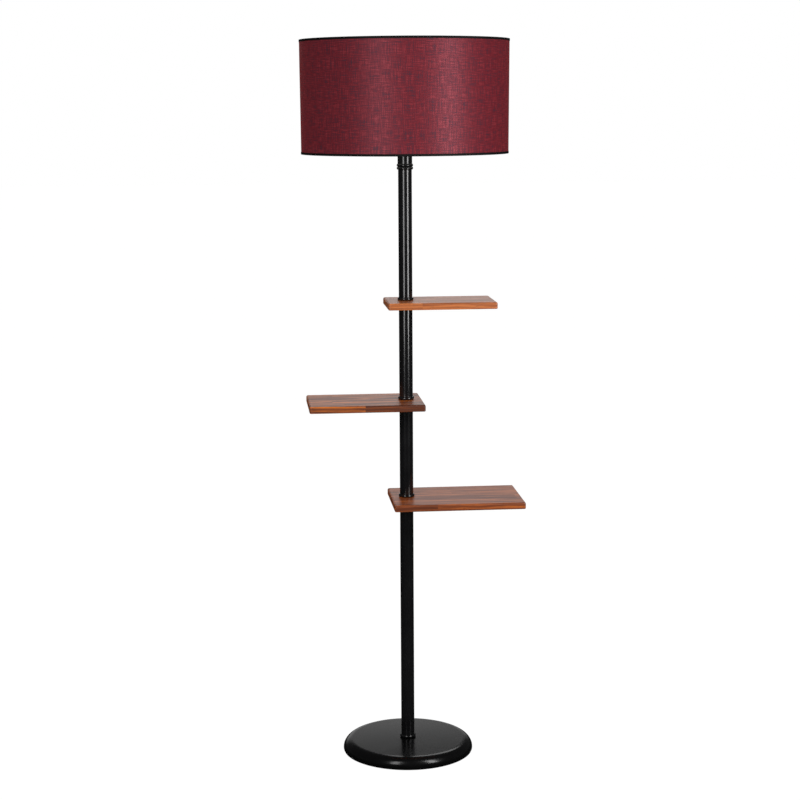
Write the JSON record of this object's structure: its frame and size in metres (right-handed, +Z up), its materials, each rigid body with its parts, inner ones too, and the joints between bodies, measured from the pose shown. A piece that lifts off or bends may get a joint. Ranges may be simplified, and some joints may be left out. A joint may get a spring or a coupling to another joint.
{
  "type": "shelf floor lamp",
  "caption": "Floor lamp with a fabric drum shade on a black pole that carries wooden swivel shelves, on a round weighted base.",
  "frame": {"origin": "where the pole's axis meets the floor, in the middle of the base's underside", "axes": "+Z up along the pole; the shelves' long sides run along X, the lower and upper ones towards +X and the middle one towards -X; -Y is the front and the cord leaves towards +Y"},
  "size_m": [0.4841, 0.4564, 1.6001],
  "materials": {
    "pole_paint": "black semi-gloss enamel",
    "base_paint": "black satin enamel",
    "plated_steel": "zinc plated",
    "cast_block": "rough cast concrete",
    "foam_pad": "matt foam",
    "grommet_rubber": "matt rubber",
    "shelf_wood": "stained and varnished, satin",
    "holder_plastic": "black thermoplastic",
    "holder_ceramic": "unglazed",
    "contact_brass": "stamped brass",
    "frame_enamel": "white enamel on wire",
    "shade_fabric": "burgundy slub weave with a satin sheen",
    "shade_lining": "white laminate",
    "trim_tape": "black tape",
    "bulb_insulator": "black glassy insulator",
    "bulb_cap": "plated screw cap",
    "bulb_plastic": "white moulded",
    "bulb_globe": "opal diffuser"
  },
  "bodies": {
    "stand": {"base_collar": "pole_paint", "base_nut": "plated_steel", "base_pad": "foam_pad", "base_rod": "plated_steel", "base_shell": "base_paint", "base_washer": "plated_steel", "base_weight": "cast_block", "centre_tube": "pole_paint", "centre_tube_foot_plug": "plated_steel", "centre_tube_head_plug": "plated_steel", "cord_grommet": "grommet_rubber", "lampholder_block": "holder_ceramic", "lampholder_body": "holder_plastic", "lampholder_cap": "holder_plastic", "lampholder_contact": "contact_brass", "lampholder_sleeve": "contact_brass", "lower_shelf_collar": "pole_paint", "lower_shelf_rod": "plated_steel", "lower_tube": "pole_paint", "lower_tube_foot_plug": "plated_steel", "lower_tube_head_plug": "plated_steel", "middle_shelf_collar": "pole_paint", "middle_shelf_rod": "plated_steel", "neck_cap": "pole_paint", "neck_collar": "pole_paint", "neck_rod": "plated_steel", "shade_ring_nut": "holder_plastic", "top_tube": "pole_paint", "top_tube_foot_plug": "plated_steel", "top_tube_head_plug": "plated_steel", "upper_shelf_collar": "pole_paint", "upper_shelf_rod": "plated_steel", "upper_tube": "pole_paint", "upper_tube_foot_plug": "plated_steel", "upper_tube_head_plug": "plated_steel"},
    "lower_shelf": {"lower_shelf": "shelf_wood"},
    "middle_shelf": {"middle_shelf": "shelf_wood"},
    "upper_shelf": {"upper_shelf": "shelf_wood"},
    "shade": {"shade_arm_1": "frame_enamel", "shade_arm_2": "frame_enamel", "shade_arm_3": "frame_enamel", "shade_bottom_trim": "trim_tape", "shade_bottom_wire": "frame_enamel", "shade_cover": "shade_fabric", "shade_fitter_ring": "frame_enamel", "shade_liner": "shade_lining", "shade_top_trim": "trim_tape", "shade_top_wire": "frame_enamel"},
    "bulb": {"bulb_contact": "contact_brass", "bulb_globe": "bulb_globe", "bulb_housing": "bulb_plastic", "bulb_insulator": "bulb_insulator", "bulb_screw_cap": "bulb_cap"}
  },
  "joints": [
    {"name": "lower_shelf_swivel", "type": "hinge", "parent": "stand", "child": "lower_shelf", "pos_m": [0, 0, 0.58356], "axis": [0, 0, 1], "continuous": true},
    {"name": "middle_shelf_swivel", "type": "hinge", "parent": "stand", "child": "middle_shelf", "pos_m": [0, 0, 0.80506], "axis": [0, 0, 1], "continuous": true},
    {"name": "upper_shelf_swivel", "type": "hinge", "parent": "stand", "child": "upper_shelf", "pos_m": [0, 0, 1.02656], "axis": [0, 0, 1], "continuous": true},
    {"name": "shade_swivel", "type": "hinge", "parent": "stand", "child": "shade", "pos_m": [0, 0, 1.39006], "axis": [0, 0, 1], "continuous": true},
    {"name": "bulb_lift", "type": "slide", "parent": "stand", "child": "bulb", "axis": [0, 0, 1], "range_m": [0, 0.03]}
  ]
}
